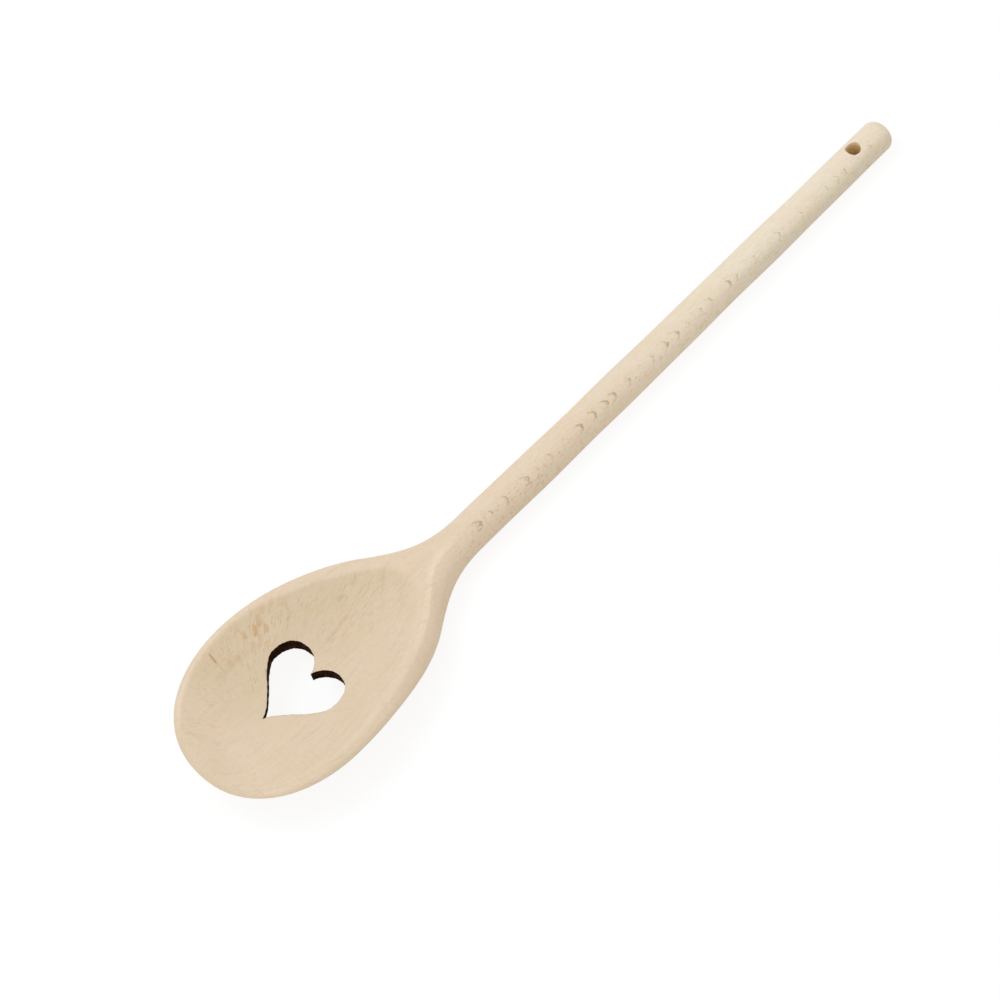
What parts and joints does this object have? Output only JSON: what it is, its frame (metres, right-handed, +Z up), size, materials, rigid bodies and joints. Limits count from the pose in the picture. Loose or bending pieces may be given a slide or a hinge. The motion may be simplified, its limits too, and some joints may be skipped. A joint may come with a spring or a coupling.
{
  "type": "cooking spoon",
  "caption": "One-piece beech cooking spoon with a round tapered handle, a shallow egg-shaped bowl, a heart-shaped cut-out through the bowl and a hole for hanging.",
  "frame": {"origin": "on the table, under the middle of the bounding box of the spoon as it lies on its heel and the end of its handle", "axes": "+X along the handle towards the hanging hole, +Z up out of the dish, +Y to the left seen from above with the handle pointing away"},
  "size_m": [0.3, 0.0654, 0.0187],
  "materials": {
    "beech": "fine sanded raw beech, heart walls charred by the cut"
  },
  "bodies": {
    "root": {"spoon": "beech"}
  },
  "joints": []
}
